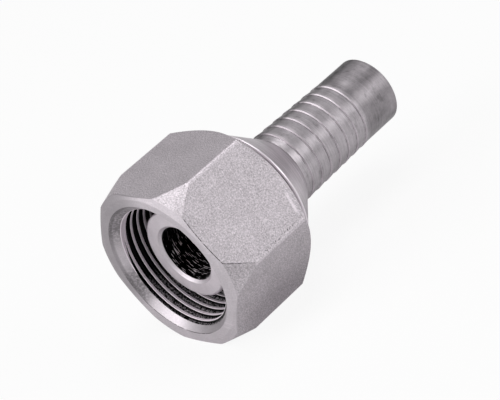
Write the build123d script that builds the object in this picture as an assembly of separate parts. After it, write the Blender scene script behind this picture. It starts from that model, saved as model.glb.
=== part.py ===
"""Swivel female hose fitting: a turned hose insert and the hexagon union nut that turns on it.

Units are millimetres. The fitting lies with its axis along Y. The nut's mouth faces -Y, the hose
tail points to +Y, and +Z is up through one flat of the hexagon. The origin is on the axis, in the
plane of the insert's flat sealing face.
"""
from build123d import *
import math
import os

# Hexagon of the nut
hex_across_flats = 36.0
hex_corner_radius = 0.8
nut_length = 24.2

# Turned front end of the nut
mouth_diameter = 31.5
mouth_bevel_deg = 45.0
front_face_diameter = 34.8
front_bevel_width = 1.5
front_bevel_depth = 0.45
front_cone_deg = 15.6

# Turned rear end of the nut
rear_face_diameter = 35.2
rear_chamfer_deg = 39.0

# Inside of the nut
thread_root_diameter = 30.1
thread_depth = 15.6
lip_thickness = 3.9
lip_height = 1.2
lip_base_diameter = 30.8
lip_bend_deg = 26.0
lip_hole_bevel = 0.4

# Nose of the insert, which stands inside the nut
seat_depth = 5.4
nose_diameter = 20.7
nose_edge_round = 0.6
bore_diameter = 13.1
bore_bevel = 0.6

# Collar that the nut pulls on, and the neck behind it
collar_diameter = 27.0
collar_thickness = 3.8
collar_edge = 0.4
neck_diameter = 20.5

# Shoulder and cone behind the nut
flare_diameter = 30.6
flare_edge = 0.25
flare_rim_width = 0.25
flare_length = 8.5
flare_end_diameter = 16.6

# Serrated hose tail
tail_lead_in = 1.9
tail_crest_diameter = 17.15
tail_last_crest_diameter = 16.25
tail_tooth_count = 7
tail_tooth_pitch = 3.13
tail_tooth_depth = 0.22
tail_tooth_face_deg = 55.0
tail_end_diameter = 16.0
tail_end_ramp = 1.4
tail_end_length = 11.0
tail_edge = 0.35

# Clearances between the nut and the insert
running_gap = 0.08
lip_gap = 0.3
thrust_gap = 0.3
back_gap = 0.6

# Places along the axis, worked out from the sizes above
mouth_y = -seat_depth
nut_back_y = mouth_y + nut_length
lip_back_y = nut_back_y + lip_height
lip_front_y = lip_back_y - lip_thickness
collar_back_y = lip_front_y - thrust_gap
collar_front_y = collar_back_y - collar_thickness
shoulder_y = lip_back_y + back_gap
rim_back_y = shoulder_y + flare_edge + flare_rim_width
flare_end_y = rim_back_y + flare_length
first_crest_y = flare_end_y + tail_lead_in
last_crest_y = first_crest_y + (tail_tooth_count - 1) * tail_tooth_pitch
tail_end_y = last_crest_y + tail_end_length

# A radius outside the hexagon's corners, where the lathe's cuts start
beyond_corners = hex_across_flats * 0.6

# Fits that follow from one piece to the other
collar_chamber_diameter = collar_diameter + 2 * running_gap
lip_hole_diameter = neck_diameter + 2 * lip_gap


def run_out(rise, degrees):
    """Length along one leg of a corner whose other leg is rise, at the given angle."""
    return rise / math.tan(math.radians(degrees))


def turned(points):
    """A solid of revolution about the Y axis from (radius, y) points on one side of it."""
    outline = make_face(Polyline(*points, close=True))
    return revolve(outline, Axis.Y)


def edges_at(solid, diameter, y):
    """The circular edges of a solid with this diameter that lie at y on the axis."""
    rings = solid.edges().filter_by(GeomType.CIRCLE)
    return rings.filter_by(
        lambda ring: abs(ring.radius - diameter / 2) < 1e-4 and abs(ring.center().Y - y) < 1e-4
    )


def hexagon_bar():
    """Hexagon bar with a flat on top and softly rounded corners, from the mouth to the back."""
    section = RegularPolygon(radius=hex_across_flats / 2, side_count=6, major_radius=False)
    section = fillet(section.vertices(), hex_corner_radius)
    bar = extrude(Plane.XZ * section, amount=nut_length)
    bar_low_y = bar.bounding_box().min.Y
    return Pos(0, mouth_y - bar_low_y, 0) * bar


def turned_front():
    """What the lathe leaves of the bar from the front: a face, a shallow bevel and a steep cone."""
    bevel_radius = front_face_diameter / 2 + front_bevel_width
    cone_start_y = mouth_y + front_bevel_depth
    cone_end_y = cone_start_y + run_out(beyond_corners - bevel_radius, front_cone_deg)
    return turned([
        (0, mouth_y),
        (front_face_diameter / 2, mouth_y),
        (bevel_radius, cone_start_y),
        (beyond_corners, cone_end_y),
        (beyond_corners, cone_end_y + nut_length),
        (0, cone_end_y + nut_length),
    ])


def turned_back():
    """What the lathe leaves of the bar from the back: a face and a chamfer over the corners."""
    rear_radius = rear_face_diameter / 2
    chamfer_end_y = nut_back_y - (beyond_corners - rear_radius) * math.tan(math.radians(rear_chamfer_deg))
    return turned([
        (0, nut_back_y),
        (rear_radius, nut_back_y),
        (beyond_corners, chamfer_end_y),
        (beyond_corners, chamfer_end_y - nut_length),
        (0, chamfer_end_y - nut_length),
    ])


def rolled_lip():
    """The ring at the nut's back that is rolled inwards over the insert's collar."""
    crown_radius = lip_base_diameter / 2 - run_out(lip_height, lip_bend_deg)
    return turned([
        (0, lip_front_y),
        (lip_base_diameter / 2, lip_front_y),
        (lip_base_diameter / 2, nut_back_y),
        (crown_radius, lip_back_y),
        (0, lip_back_y),
    ])


def nut_inside():
    """Everything that is bored out of the nut, from the mouth's bevel to the hole in the lip."""
    root = thread_root_diameter / 2
    bevel_depth = run_out((mouth_diameter - thread_root_diameter) / 2, mouth_bevel_deg)
    thread_end_y = mouth_y + thread_depth
    chamber = collar_chamber_diameter / 2
    thread_end_cone = run_out(root - chamber, 45)
    hole = lip_hole_diameter / 2
    return turned([
        (0, mouth_y),
        (mouth_diameter / 2, mouth_y),
        (root, mouth_y + bevel_depth),
        (root, thread_end_y - thread_end_cone),
        (chamber, thread_end_y),
        (chamber, lip_front_y),
        (hole, lip_front_y),
        (hole, lip_back_y - lip_hole_bevel),
        (hole + lip_hole_bevel, lip_back_y),
        (0, lip_back_y),
    ])


def make_swivel_nut():
    body = hexagon_bar() & turned_front() & turned_back()
    return body + rolled_lip() - nut_inside()


def serrations():
    """(radius, y) points of the saw teeth: a steep face towards the nut, a long ramp to the tip."""
    points = []
    face_length = run_out(tail_tooth_depth, tail_tooth_face_deg)
    for tooth in range(tail_tooth_count):
        share = tooth / (tail_tooth_count - 1)
        crest = (tail_crest_diameter + share * (tail_last_crest_diameter - tail_crest_diameter)) / 2
        crest_y = first_crest_y + tooth * tail_tooth_pitch
        points.append((crest - tail_tooth_depth, crest_y - face_length))
        points.append((crest, crest_y))
    return points


def make_hose_insert():
    bore = bore_diameter / 2
    nose = nose_diameter / 2
    collar = collar_diameter / 2
    neck = neck_diameter / 2
    flare = flare_diameter / 2
    tail_end = tail_end_diameter / 2
    outline = [
        (bore + bore_bevel, 0),
        (nose, 0),
        (nose, collar_front_y),
        (collar - collar_edge, collar_front_y),
        (collar, collar_front_y + collar_edge),
        (collar, collar_back_y),
        (neck, collar_back_y),
        (neck, shoulder_y),
        (flare - flare_edge, shoulder_y),
        (flare, shoulder_y + flare_edge),
        (flare, rim_back_y),
        (flare_end_diameter / 2, flare_end_y),
    ]
    outline += serrations()
    outline += [
        (tail_end, last_crest_y + tail_end_ramp),
        (tail_end, tail_end_y - tail_edge),
        (tail_end - tail_edge, tail_end_y),
        (bore + tail_edge, tail_end_y),
        (bore, tail_end_y - tail_edge),
        (bore, bore_bevel),
    ]
    insert = turned(outline)
    return fillet(edges_at(insert, nose_diameter, 0), nose_edge_round)


pieces = {
    "swivel_nut": make_swivel_nut(),
    "hose_insert": make_hose_insert(),
}

os.makedirs("parts", exist_ok=True)
for name, piece in pieces.items():
    export_step(piece, f"parts/{name}.step")
    box = piece.bounding_box()
    print(name, "volume mm3", round(piece.volume, 1), "y from", round(box.min.Y, 2), "to", round(box.max.Y, 2))
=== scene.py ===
# %% [markdown]
# A swivel hose fitting in steel
#
# This file dresses a hydraulic hose fitting that was drawn as solids in a CAD program. Two steel
# pieces are there already: the hexagon nut and the turned insert with its serrated hose tail. What
# is left for Blender is what a solid drawing doesn't hold: the screw thread in the nut, the blasted
# grain of the zinc, the fine turning lines, the stains on the tail, a floor, soft lamps and a camera.

# %% Load the two steel pieces
import bpy
import bmesh
import math
from mathutils import Matrix, Vector


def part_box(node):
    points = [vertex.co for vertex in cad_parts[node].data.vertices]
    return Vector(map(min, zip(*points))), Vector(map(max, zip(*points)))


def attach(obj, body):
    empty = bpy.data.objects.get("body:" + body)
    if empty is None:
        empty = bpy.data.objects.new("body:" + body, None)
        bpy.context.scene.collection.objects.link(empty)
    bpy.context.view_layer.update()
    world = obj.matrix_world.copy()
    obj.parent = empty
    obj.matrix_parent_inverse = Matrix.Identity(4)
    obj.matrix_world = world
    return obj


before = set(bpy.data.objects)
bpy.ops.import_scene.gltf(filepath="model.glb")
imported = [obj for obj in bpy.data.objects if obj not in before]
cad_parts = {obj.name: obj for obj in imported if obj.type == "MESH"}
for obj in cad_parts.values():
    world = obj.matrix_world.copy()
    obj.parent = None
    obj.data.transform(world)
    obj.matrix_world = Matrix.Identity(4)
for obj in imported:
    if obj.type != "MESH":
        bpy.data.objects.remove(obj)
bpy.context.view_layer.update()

MM = 0.001
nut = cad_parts["swivel_nut"]
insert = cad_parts["hose_insert"]
for piece in (nut, insert):
    print(piece.name, "has", len(piece.data.polygons), "faces")

# %% [markdown]
# Places along the fitting
#
# The origin lies on the axis, in the plane of the insert's flat seat. The nut's mouth faces -Y and
# the hose tail points to +Y. Reading the lengths from the pieces' own boxes keeps the script true
# when the drawing changes, so only what the boxes can't tell is written here as a size.

# %% Read the places from the boxes
nut_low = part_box("swivel_nut")[0]
insert_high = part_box("hose_insert")[1]
mouth_y = nut_low.y
tail_tip_y = insert_high.y
floor_z = nut_low.z
print("mouth at", round(mouth_y / MM, 2), "tail tip at", round(tail_tip_y / MM, 2), "mm")

# %% [markdown]
# A helper for metal
#
# Every finish here is a metal with broken reflections: a colour that is a little lighter and darker
# from spot to spot, a roughness, and a bump that scatters the light. Such a finish takes dozens of
# nodes, so a small class adds them by short calls. Most calls return the new node's output, ready
# to be fed into the next: rise goes softly from 0 to 1 between two values, band is 1 between two
# values and 0 outside them. Spots mixes the first two greys, and each coat lays one more grey over
# them where its mask says so. Object coordinates are used throughout, turned into millimetres: both
# pieces sit at the origin, so distance from the axis and angle round it tell one zone from another.
# The angle runs from 0 to 360 degrees, from +X towards +Z.

# %% A finish whose nodes are added by short calls
def grey(light):
    return (light, light * 0.928, light * 0.985, 1)


class Finish:
    def __init__(self, name):
        self.material = bpy.data.materials.new(name)
        self.material.use_nodes = True
        self.nodes = self.material.node_tree.nodes
        self.links = self.material.node_tree.links
        self.shader = self.nodes["Principled BSDF"]
        self.shader.inputs["Metallic"].default_value = 1.0
        self.read_places()

    def feed(self, socket, value):
        if isinstance(value, bpy.types.NodeSocket):
            self.links.new(value, socket)
        else:
            socket.default_value = value

    def node(self, kind, inputs, **settings):
        node = self.nodes.new("ShaderNode" + kind)
        for name, value in settings.items():
            setattr(node, name, value)
        for slot, value in inputs.items():
            self.feed(node.inputs[slot], value)
        return node

    def math(self, operation, first, second=0.0):
        return self.node("Math", {0: first, 1: second}, operation=operation).outputs[0]

    def product(self, first, *others):
        for other in others:
            first = self.math("MULTIPLY", first, other)
        return first

    def total(self, first, *others):
        for other in others:
            first = self.math("ADD", first, other)
        return first

    def inverse(self, value):
        return self.math("SUBTRACT", 1.0, value)

    def about_zero(self, value):
        return self.math("SUBTRACT", value, 0.5)

    def stretched(self, factors):
        return self.node("VectorMath", {0: self.place, 1: factors}, operation="MULTIPLY").outputs[0]

    def along(self, direction):
        sockets = {0: self.place, 1: direction}
        return self.node("VectorMath", sockets, operation="DOT_PRODUCT").outputs["Value"]

    def rise(self, value, low, high):
        sockets = {"Value": value, "From Min": low, "From Max": high}
        return self.node("MapRange", sockets, interpolation_type="SMOOTHSTEP").outputs["Result"]

    def band(self, value, low, high, soft):
        return self.product(self.rise(value, low - soft, low), self.rise(value, high + soft, high))

    def noise(self, size, detail=2.0, place=None):
        sockets = {"Vector": place or self.place, "Scale": 1 / size, "Detail": detail, "Roughness": 0.6}
        return self.node("TexNoise", sockets).outputs["Fac"]

    def spots(self, tone, dark, light):
        sockets = {0: tone, 6: grey(dark), 7: grey(light)}
        self.colour = self.node("Mix", sockets, data_type="RGBA").outputs[2]

    def coat(self, share, light):
        sockets = {0: share, 6: self.colour, 7: grey(light)}
        self.colour = self.node("Mix", sockets, data_type="RGBA").outputs[2]

    def blend(self, share, value, other):
        return self.node("Mix", {0: share, 2: value, 3: other}, data_type="FLOAT").outputs[0]

    def read_places(self):
        place = self.node("TexCoord", {}).outputs["Object"]
        grown = self.node("VectorMath", {0: place, "Scale": 1 / MM}, operation="SCALE")
        self.place = grown.outputs[0]
        parts = self.node("SeparateXYZ", {0: self.place}).outputs
        self.x, self.y, self.z = parts[0], parts[1], parts[2]
        across = self.stretched((1, 0, 1))
        self.radius = self.node("VectorMath", {0: across}, operation="LENGTH").outputs["Value"]
        turned = self.math("ARCTAN2", self.product(self.z, -1), self.product(self.x, -1))
        self.angle = self.math("ADD", self.math("DEGREES", turned), 180)

    def finish(self, roughness, height, strength, distance):
        self.feed(self.shader.inputs["Base Color"], self.colour)
        self.feed(self.shader.inputs["Roughness"], roughness)
        bump = self.node("Bump", {"Height": height, "Strength": strength, "Distance": distance})
        self.feed(self.shader.inputs["Normal"], bump.outputs["Normal"])
        print(self.material.name, "has", len(self.nodes), "nodes")
        return self.material


# %% [markdown]
# The nut's finish
#
# The nut is forged, blasted and zinc plated: a fine grain that scatters the light, with faint
# scratches from handling. Its front was turned afterwards, so the ring round the mouth is smoother.
# The thread's grooves and the deep inside are painted nearly black as shade, with mottled painted
# light on the grooves' lower wall, and the crests get a painted highlight. Each zone is a mask worked
# out from the distance to the axis, the angle and the depth, and the masks then mix plain greys.

# %% Nut: zones
zinc = Finish("blasted zinc")
mouth_radius = 15.75
ring_radii = (mouth_radius - 3, 18.9)
front_depth = zinc.math("SUBTRACT", zinc.y, mouth_y / MM)
ring = zinc.product(zinc.band(zinc.radius, *ring_radii, 0.1), zinc.rise(front_depth, 0.7, 0.4))
within_mouth = zinc.rise(zinc.radius, mouth_radius, mouth_radius - 0.04)
inside = zinc.product(within_mouth, zinc.rise(zinc.y, 16, 14))
cone_sum = mouth_radius + mouth_y / MM
on_cone = zinc.rise(zinc.total(zinc.radius, zinc.y), cone_sum + 0.12, cone_sum + 0.06)
smooth = zinc.math("MAXIMUM", ring, inside)

# %% Nut: grain, clouds and scratches
grain = zinc.noise(0.3, 2.0)
clouds = zinc.noise(5.0, 3.0)
scratches = zinc.rise(zinc.noise(0.9, 1.0, zinc.stretched((0.22, 0.9, 1.6))), 0.66, 0.72)
grain_depth = zinc.blend(smooth, 1.3, 0.35)
tone = zinc.product(zinc.about_zero(grain), grain_depth)
tone = zinc.total(tone, zinc.product(zinc.about_zero(clouds), 0.25), zinc.product(scratches, 0.08))
zinc.spots(zinc.total(tone, 0.5), 0.22, 0.92)

# %% Nut: stains on the mouth's cone, and painted shade on the ring and on the cone's lower right
left_stain = zinc.band(zinc.angle, 198, 210, 16)
top_stain = zinc.band(zinc.angle, 118, 145, 30)
stained = zinc.product(zinc.math("MAXIMUM", left_stain, top_stain), on_cone, inside)
mottles = zinc.rise(zinc.noise(0.5, 4.0), 0.2, 0.62)
zinc.coat(zinc.product(stained, mottles, 0.7), 0.1)
# Painted shade: the ring is darker towards its upper left, in clouds.
ring_shade = zinc.band(zinc.angle, 110, 200, 30)
zinc.coat(zinc.product(ring_shade, ring, zinc.blend(clouds, 0.2, 0.7)), 0.14)
# Painted shade: the cone is darker at its lower right.
cone_shade = zinc.band(zinc.angle, 262, 310, 14)
zinc.coat(zinc.product(cone_shade, on_cone, inside, 0.4), 0.18)

# %% Nut: painted shade in the grooves, painted light on their lower wall, painted highlights on the crests
groove = zinc.product(inside, zinc.rise(zinc.radius, 14.02, 14.1), zinc.inverse(on_cone))
deep = zinc.product(inside, zinc.rise(zinc.y, 5.5, 8.5))
# Painted shade: the grooves and the deep inside are painted nearly black, where little light gets in.
dark = zinc.math("MAXIMUM", groove, deep)
zinc.coat(dark, 0.012)
# Painted light: mottled spots of light on the grooves' lower wall.
lower_wall = zinc.product(zinc.band(zinc.angle, 222, 300, 22), zinc.rise(zinc.radius, 14.35, 14.7))
lit_spots = zinc.rise(zinc.noise(0.35, 3.0), 0.44, 0.56)
zinc.coat(zinc.product(groove, lit_spots, lower_wall, 0.8), 0.6)
# Painted highlight: the crests are painted bright, fading deeper into the nut.
on_crest = zinc.rise(zinc.radius, 14.08, 14.02)
crest_highlight = zinc.product(inside, on_crest, zinc.rise(zinc.y, 6.5, 3.5))
zinc.coat(zinc.product(crest_highlight, 0.9), 1.0)

# %% [markdown]
# Single marks on the nut
#
# One flat carries marks of its own. A dark hairline runs along its front edge, where the turned
# cone and bevel meet the flat: a dent with painted shade in it, found from the same bevel and cone.
# Beside one corner lies a row of small pits, and near the back a streak that the forging left. Two
# more directions help to place them: one across this flat, and one straight out of it.

# %% Nut: two directions on the marked flat
flat_turn = math.radians(30)
flat_distance = 18.0
across_flat = zinc.along((-math.sin(flat_turn), 0, math.cos(flat_turn)))
out_of_flat = zinc.along((math.cos(flat_turn), 0, math.sin(flat_turn)))
on_flat = zinc.rise(out_of_flat, flat_distance - 0.04, flat_distance - 0.02)

# %% Nut: the hairline's painted shade, and a painted shade line on the mouth's rim
front_bevel_radius = 17.4
front_bevel_width = 1.5
front_bevel_depth = 0.45
cone_slope = 3.58
cone_start = front_bevel_depth - front_bevel_width * cone_slope
past_face = zinc.math("SUBTRACT", zinc.radius, front_bevel_radius)
bevel_y = zinc.product(past_face, front_bevel_depth / front_bevel_width)
cone_y = zinc.total(zinc.product(past_face, cone_slope), cone_start)
from_edge = zinc.math("SUBTRACT", front_depth, zinc.math("MAXIMUM", bevel_y, cone_y))
edge_line = zinc.band(from_edge, 0.02, 0.14, 0.05)
hairline = zinc.product(on_flat, edge_line, zinc.band(across_flat, -8.5, 5.2, 0.8))
broken = zinc.rise(zinc.noise(0.6, 3.0), 0.36, 0.5)
# Painted shade: a broken dark line along the crease at the flat's front edge.
zinc.coat(zinc.product(hairline, broken), 0.03)
# Painted shade: a thin broken dark line along the mouth's rim, on its lower side.
rim_line = zinc.band(zinc.radius, mouth_radius - 0.05, mouth_radius + 0.05, 0.04)
low_rim = zinc.product(zinc.rise(front_depth, 0.15, 0.08), zinc.band(zinc.angle, 218, 285, 8))
zinc.coat(zinc.product(rim_line, low_rim, broken, 0.8), 0.05)

# %% Nut: pits, the forged streak and painted highlights on the corners
beside_corner = zinc.product(zinc.band(across_flat, -9.95, -9.5, 0.15), zinc.band(zinc.y, 3, 14, 1.0))
pit_spots = zinc.rise(zinc.noise(0.35, 1.0), 0.54, 0.62)
pits = zinc.product(beside_corner, zinc.rise(out_of_flat, 17.0, 17.4), pit_spots)
zinc.coat(zinc.product(pits, 0.85), 0.08)
slanted = zinc.total(zinc.y, zinc.product(across_flat, -0.22))
streak = zinc.product(zinc.band(slanted, 17.4, 17.7, 0.35), zinc.band(across_flat, -7.8, -4.6, 1.2))
zinc.coat(zinc.product(streak, on_flat, 0.5), 1.0)
# Painted highlight: the hexagon's corners are lighter, broken by the grain.
corner = zinc.rise(zinc.radius, 20.45, 20.6)
zinc.coat(zinc.product(corner, grain, 0.6), 1.0)

# %% Nut: roughness and bump
roughness = zinc.blend(smooth, 0.55, 0.52)
roughness = zinc.blend(dark, roughness, 0.4)
roughness = zinc.blend(crest_highlight, roughness, 0.7)
turning_marks = zinc.noise(0.15, 1.0, zinc.stretched((0.06, 1, 0.06)))
height = zinc.blend(smooth, grain, turning_marks)
dents = zinc.product(zinc.math("MAXIMUM", pits, hairline), 1.5)
height = zinc.math("SUBTRACT", height, dents)
nut_steel = zinc.finish(roughness, height, 0.3, 0.02 * MM)
nut.data.materials.clear()
nut.data.materials.append(nut_steel)

# %% [markdown]
# The insert's finish
#
# The insert was turned from bar and not blasted, so fine lines run round it, and noise that is
# squeezed along the axis gives them. Handling left grey clouds on the tail. Each serration gets a
# painted highlight on its crest and painted shade in its root, and the tail's far side gets painted
# shade. The bore is painted black as shade, with a few short painted glints.

# %% Insert: places along the tail
tail_plain_length = 11.0
tooth_pitch = 3.13
tooth_count = 7
last_crest_y = tail_tip_y / MM - tail_plain_length
first_tail_crest_y = last_crest_y - (tooth_count - 1) * tooth_pitch
print("tail crests from", round(first_tail_crest_y, 2), "to", round(last_crest_y, 2), "mm")

# %% Insert: zones
steel = Finish("turned steel")
on_tail = steel.rise(steel.y, 28, 30)
on_flare = steel.product(steel.rise(steel.y, 19.5, 20.5), steel.rise(steel.y, 30, 28))
plain_end = steel.rise(steel.y, last_crest_y, last_crest_y + 1.5)
nose_face = steel.rise(steel.y, 0.75, 0.6)
flare_rim = steel.rise(steel.radius, 15.0, 15.2)

# %% Insert: turning lines, clouds and grain
lines = steel.noise(0.36, 3.0, steel.stretched((0.05, 1.0, 0.05)))
clouds = steel.noise(3.4, 4.0, steel.stretched((1.0, 0.8, 1.0)))
line_depth = steel.blend(on_flare, 0.5, 1.8)
cloud_depth = steel.blend(plain_end, steel.blend(nose_face, 0.55, 0.25), 1.1)
tone = steel.product(steel.about_zero(lines), line_depth)
tone = steel.total(tone, steel.product(steel.about_zero(clouds), cloud_depth))
tone = steel.total(tone, steel.product(steel.about_zero(steel.noise(0.4, 2.0)), 0.25))
steel.spots(steel.total(tone, 0.5), 0.18, 0.84)

# %% Insert: a darker tail end, a lighter nose and flare, a painted highlight on the flare's rim, smears on the tail
steel.coat(steel.product(plain_end, 0.42), 0.08)
steel.coat(steel.product(nose_face, 0.3), 0.95)
steel.coat(steel.product(on_flare, 0.4), 0.95)
# Painted highlight: a bright line round the flare's rim.
steel.coat(steel.product(flare_rim, 0.8), 1.0)
smears = steel.rise(steel.noise(1.5, 4.0, steel.stretched((0.5, 1.0, 0.5))), 0.55, 0.72)
steel.coat(steel.product(smears, on_tail, 0.45), 0.12)

# %% [markdown]
# Lines on the serrations
#
# All the teeth look alike, so one mask serves them all. The remainder of the depth, divided by the
# teeth's pitch, counts from crest to crest, and a narrow band of it is a line on every tooth.

# %% Insert: painted highlights and sheen on the crests, painted shade in the roots and on the far side
from_first = steel.math("SUBTRACT", steel.y, first_tail_crest_y - tooth_pitch / 2)
in_tooth = steel.math("SUBTRACT", steel.math("MODULO", from_first, tooth_pitch), tooth_pitch / 2)
serrated = steel.band(steel.y, first_tail_crest_y - 1, last_crest_y + 1, 0.1)
# Painted shade: a dark line in each tooth's root, in spots.
root_spots = steel.rise(steel.noise(1.6), 0.4, 0.55)
root_line = steel.product(steel.band(in_tooth, -0.34, -0.2, 0.05), serrated, root_spots)
steel.coat(steel.product(root_line, 0.6), 0.06)
# Painted highlight: a bright line on each crest, and a sheen behind the crests on the lit side.
serration_highlight = steel.product(steel.band(in_tooth, -0.14, 0.06, 0.05), serrated)
steel.coat(steel.product(serration_highlight, steel.blend(clouds, 0.2, 0.7)), 0.95)
lit_side = steel.band(steel.angle, 62, 88, 14)
sheen = steel.product(steel.band(in_tooth, -0.1, 0.5, 0.15), serrated, lit_side)
steel.coat(steel.product(sheen, 0.35), 0.9)
# Painted shade: the tail's far side is darker, in blots.
far_side_shade = steel.product(on_tail, steel.band(steel.angle, 98, 122, 14))
blots = steel.rise(steel.noise(1.4, 4.0), 0.36, 0.64)
steel.coat(steel.product(far_side_shade, steel.blend(blots, 0.35, 0.75)), 0.05)

# %% Insert: painted shade in the bore, and painted glints
bore_radius = 6.55
bore_wall = steel.rise(steel.radius, bore_radius + 0.06, bore_radius + 0.02)
in_bore = steel.product(bore_wall, steel.rise(steel.y, 0.5, 0.7))
glint_streaks = steel.noise(0.3, 1.0, steel.stretched((0.16, 1.2, 0.16)))
more_below = steel.blend(steel.band(steel.angle, 200, 285, 40), 0.25, 1.0)
# Painted glints: bright, non-metallic streaks on the bore's wall, more of them below.
painted_glints = steel.product(in_bore, steel.rise(glint_streaks, 0.6, 0.66), more_below)
# Painted shade: the bore's wall is painted nearly black.
steel.coat(in_bore, 0.008)
steel.coat(painted_glints, 1.0)

# %% Insert: roughness and bump
roughness = steel.blend(clouds, 0.3, 0.5)
roughness = steel.blend(nose_face, roughness, 0.55)
roughness = steel.blend(serration_highlight, roughness, 0.6)
steel.feed(steel.shader.inputs["Metallic"], steel.inverse(painted_glints))
insert_steel = steel.finish(roughness, lines, 0.2, 0.01 * MM)
insert.data.materials.clear()
insert.data.materials.append(insert_steel)

# %% [markdown]
# The thread
#
# A nut's thread is one long ridge that winds down the wall. Spin does exactly that when it is given
# a small step along the axis with each turn: it sweeps a short outline round and down at once. The
# ridge is sunk a little into the wall that carries it, so no light can leak in under it. Its angles
# are counted from +X towards +Z, and the ridge comes nearer to the mouth as the angle grows, which
# is what makes it a right-hand thread when seen from the mouth.

# %% Thread sizes
thread_root = 15.05 * MM
thread_crest = 13.95 * MM
thread_sink = 0.07 * MM
pitch = 2.0 * MM
crest_flat = 0.62 * MM
flank_depth = 0.75 * MM
flank_slope = 0.04 * MM
flank_bend = 0.22 * MM, 0.12 * MM
fillet_width = 0.4 * MM
crest_edge = 0.06 * MM
steps_per_turn = 120
bevel_sum = mouth_radius * MM + mouth_y
bevel_end_y = bevel_sum - thread_root
first_crest_y = mouth_y + 2.7 * MM
first_crest_angle = math.radians(210)
ridge_end_angle = math.radians(475)
ridge_turns = 6.7
fade_angle = math.radians(55)
print("thread", round(2 * thread_crest / MM, 1), "to", round(2 * thread_root / MM, 1), "mm across")


# %% Helpers for turned pieces
def on_axis(radius, y, angle):
    return Vector((radius * math.cos(angle), y, radius * math.sin(angle)))


def radius_and_angle(place):
    return math.hypot(place.x, place.z), math.atan2(place.z, place.x) % math.tau


def ease(share):
    share = min(max(share, 0), 1)
    return share * share * (3 - 2 * share)


def outline_at(bm, points, angle):
    corners = [bm.verts.new(on_axis(radius, y, angle)) for radius, y in points]
    return corners + [bm.edges.new(pair) for pair in zip(corners, corners[1:] + corners[:1])]


def finish_piece(bm, name, steel, body):
    bmesh.ops.remove_doubles(bm, verts=bm.verts, dist=0.0005 * MM)
    bmesh.ops.recalc_face_normals(bm, faces=bm.faces)
    mesh = bpy.data.meshes.new(name)
    bm.to_mesh(mesh)
    bm.free()
    piece = bpy.data.objects.new(name, mesh)
    bpy.context.scene.collection.objects.link(piece)
    piece.data.materials.append(steel)
    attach(piece, body)
    print(name, "has", len(mesh.polygons), "faces")
    return piece


# %% Wind the ridge
def crest_y(angle):
    return first_crest_y - (angle - first_crest_angle) / math.tau * pitch


def ridge_side():
    half = crest_flat / 2
    flank_end = Vector((thread_crest + flank_depth, half + flank_slope))
    return [
        (thread_crest, half - crest_edge),
        (thread_crest + crest_edge, half),
        tuple(flank_end),
        tuple(flank_end + Vector(flank_bend)),
        (thread_root + thread_sink, half + fillet_width),
    ]


def wind_thread():
    start_angle = ridge_end_angle - ridge_turns * math.tau
    start_y = crest_y(start_angle)
    low = thread_root + thread_sink
    rear = [(radius, start_y + offset) for radius, offset in reversed(ridge_side())]
    front = [(radius, start_y - offset) for radius, offset in ridge_side()]
    bm = bmesh.new()
    bmesh.ops.spin(
        bm, geom=outline_at(bm, rear + front, start_angle), cent=(0, 0, 0), axis=(0, -1, 0),
        angle=ridge_turns * math.tau, steps=round(ridge_turns * steps_per_turn),
        dvec=(0, -pitch / steps_per_turn, 0),
    )
    bmesh.ops.holes_fill(bm, edges=bm.edges, sides=len(rear + front))
    for corner in bm.verts:
        radius, angle = radius_and_angle(corner.co)
        wound = start_angle + (start_y - corner.co.y) / pitch * math.tau
        wound = angle + round((wound - angle) / math.tau) * math.tau
        fade = ease((wound - start_angle) / fade_angle) * ease((ridge_end_angle - wound) / fade_angle)
        radius = low - (low - radius) * max(fade, 0.02)
        cone_radius = bevel_sum - corner.co.y + 0.02 * MM
        corner.co = on_axis(max(radius, cone_radius), corner.co.y, angle)
    return bm


finish_piece(wind_thread(), "thread_ridge", nut_steel, "nut")

# %% [markdown]
# Where the thread starts
#
# The mouth's bevel cuts on through the first ridge, so the eye sees one wide cone there and the
# first groove comes out of it slowly. This ring is that ridge: a closed band whose inner edge
# follows the groove round, and which thins out to nothing where the groove reaches the wall.

# %% Turn the lead-in ring
ring_start, ring_full = math.radians(60), math.radians(115)
groove_start, groove_open = math.radians(148), math.radians(205)
groove_gap = 0.78 * MM
ring_back = 0.2 * MM
least_width = 0.01 * MM


def inner_edge_y(angle):
    groove = groove_gap * ease((angle - groove_start) / (groove_open - groove_start))
    edge = crest_y(angle) - crest_flat / 2 - groove
    rise = ease((angle - ring_start) / (ring_full - ring_start))
    return max(bevel_end_y + (edge - bevel_end_y) * rise, bevel_end_y + least_width)


def turn_lead_in():
    low = thread_root + thread_sink
    crest_edge_y = bevel_sum - thread_crest
    bm = bmesh.new()
    outline = outline_at(bm, [
        (thread_root, bevel_end_y),
        (thread_crest, crest_edge_y),
        (thread_crest, crest_edge_y + ring_back),
        (low, crest_edge_y + ring_back),
    ], 0)
    bmesh.ops.spin(
        bm, geom=outline, cent=(0, 0, 0), axis=(0, -1, 0), angle=math.tau,
        steps=steps_per_turn, use_merge=True,
    )
    for corner in bm.verts:
        radius, angle = radius_and_angle(corner.co)
        if corner.co.y < bevel_end_y + least_width:
            continue
        edge_y = inner_edge_y(angle)
        if radius < thread_root:
            radius = max(thread_crest, bevel_sum - edge_y)
        in_front = corner.co.y < crest_edge_y + ring_back / 2
        corner.co = on_axis(radius, bevel_sum - radius if in_front else edge_y, angle)
    return bm


finish_piece(turn_lead_in(), "thread_lead_in", nut_steel, "nut")

# %% [markdown]
# Floor and lamps
#
# The fitting lies on one flat of its hexagon, on a white floor. Plain white for the camera comes
# from the Light Path node, so the lamps can stay at a level at which colours look as written. What
# mirrors the floor or the room sees only a share of that white, or the steel would look too pale.

# %% Floor
mirrored_share = 0.2
floor_size = 4.0
floor_white = (0.85, 0.85, 0.85, 1)
floor_glow = 0.9


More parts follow.
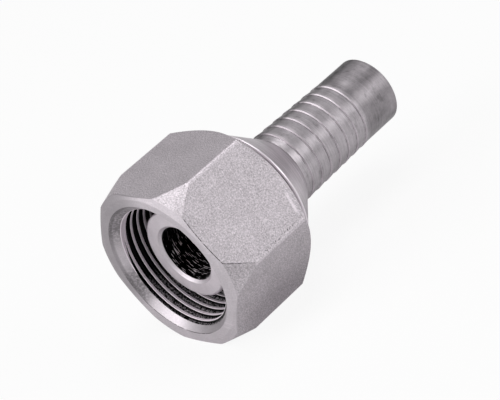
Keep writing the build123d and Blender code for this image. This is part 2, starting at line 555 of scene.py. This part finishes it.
def stage_plane(name, size, place):
    bm = bmesh.new()
    bmesh.ops.create_grid(bm, x_segments=1, y_segments=1, size=size / 2)
    bmesh.ops.translate(bm, verts=bm.verts, vec=place)
    mesh = bpy.data.meshes.new(name)
    bm.to_mesh(mesh)
    bm.free()
    plane = bpy.data.objects.new(name, mesh)
    bpy.context.scene.collection.objects.link(plane)
    return plane


def seen_directly(nodes, links):
    path = nodes.new("ShaderNodeLightPath")
    mirrored = nodes.new("ShaderNodeMath")
    mirrored.operation = "MAXIMUM"
    links.new(path.outputs["Is Glossy Ray"], mirrored.inputs[0])
    links.new(path.outputs["Is Transmission Ray"], mirrored.inputs[1])
    either = nodes.new("ShaderNodeMath")
    either.operation = "MULTIPLY_ADD"
    links.new(mirrored.outputs[0], either.inputs[0])
    either.inputs[1].default_value = mirrored_share
    links.new(path.outputs["Is Camera Ray"], either.inputs[2])
    return either.outputs[0]


floor = stage_plane("floor", floor_size, (0, 0, floor_z))
floor_paint = bpy.data.materials.new("floor paint")
floor_paint.use_nodes = True
nodes, links = floor_paint.node_tree.nodes, floor_paint.node_tree.links
shader = nodes["Principled BSDF"]
shader.inputs["Base Color"].default_value = floor_white
shader.inputs["Roughness"].default_value = 0.9
shader.inputs["Specular IOR Level"].default_value = 0.0
glow = nodes.new("ShaderNodeEmission")
glow.inputs["Strength"].default_value = 1.0
mix = nodes.new("ShaderNodeMixShader")
share = nodes.new("ShaderNodeMath")
share.operation = "MULTIPLY"
share.inputs[1].default_value = floor_glow
links.new(seen_directly(nodes, links), share.inputs[0])
links.new(share.outputs[0], mix.inputs["Fac"])
links.new(shader.outputs["BSDF"], mix.inputs[1])
links.new(glow.outputs["Emission"], mix.inputs[2])
links.new(mix.outputs["Shader"], nodes["Material Output"].inputs["Surface"])
floor.data.materials.append(floor_paint)

# %% World
room_light = 0.24
world = bpy.data.worlds.new("studio")
bpy.context.scene.world = world
world.use_nodes = True
nodes, links = world.node_tree.nodes, world.node_tree.links
background = nodes["Background"]
background.inputs["Color"].default_value = (1, 1, 1, 1)
brightness = nodes.new("ShaderNodeMath")
brightness.operation = "MULTIPLY_ADD"
brightness.inputs[1].default_value = 1 - room_light
brightness.inputs[2].default_value = room_light
links.new(seen_directly(nodes, links), brightness.inputs[0])
links.new(brightness.outputs[0], background.inputs["Strength"])


# %% Lamps
def area_lamp(name, place, aim, size, power):
    data = bpy.data.lights.new(name, "AREA")
    data.shape = "RECTANGLE"
    data.size, data.size_y = size
    data.energy = power
    lamp = bpy.data.objects.new(name, data)
    lamp.location = place
    lamp.rotation_mode = "QUATERNION"
    lamp.rotation_quaternion = (Vector(aim) - Vector(place)).to_track_quat("-Z", "Y")
    bpy.context.scene.collection.objects.link(lamp)
    return lamp


middle = (0, 0.02, 0)
area_lamp("overhead", (0.0, 0.08, 0.7), middle, (0.4, 0.7), 2.3)
area_lamp("side", (0.75, 0.52, 0.41), middle, (0.5, 0.5), 1.6)
area_lamp("front", (-0.3, -0.85, 0.45), middle, (0.7, 0.7), 6.0)

# %% [markdown]
# The camera
#
# The picture was taken from the mouth's side, from above, with a long lens, and is turned in its
# frame so that the fitting runs from corner to corner. Azimuth, elevation, roll and distance say
# this in plain words, and three vectors turn them into the camera's matrix.

# %% Camera
camera_azimuth = 54.594
camera_elevation = 26.191
camera_roll = 24.578
camera_distance = 445.43 * MM
camera_aim = Vector((7.661, 15.077, 3.951)) * MM
lens = 158.49

azimuth = math.radians(camera_azimuth)
elevation = math.radians(camera_elevation)
back = Vector((
    math.sin(azimuth) * math.cos(elevation),
    -math.cos(azimuth) * math.cos(elevation),
    math.sin(elevation),
))
upright_right = Vector((0, 0, 1)).cross(back).normalized()
turn = Matrix.Rotation(math.radians(-camera_roll), 3, back)
right = turn @ upright_right
up = back.cross(right)
camera_data = bpy.data.cameras.new("camera")
camera_data.lens = lens
camera_data.sensor_width = 36
camera = bpy.data.objects.new("camera", camera_data)
camera.matrix_world = Matrix.Translation(camera_aim + back * camera_distance) @ Matrix(
    (right, up, back)
).transposed().to_4x4()
bpy.context.scene.collection.objects.link(camera)
bpy.context.scene.camera = camera
print("camera at", [round(c / MM) for c in camera.location], "mm")

# %% Finish
bpy.context.scene.view_settings.view_transform = "Standard"
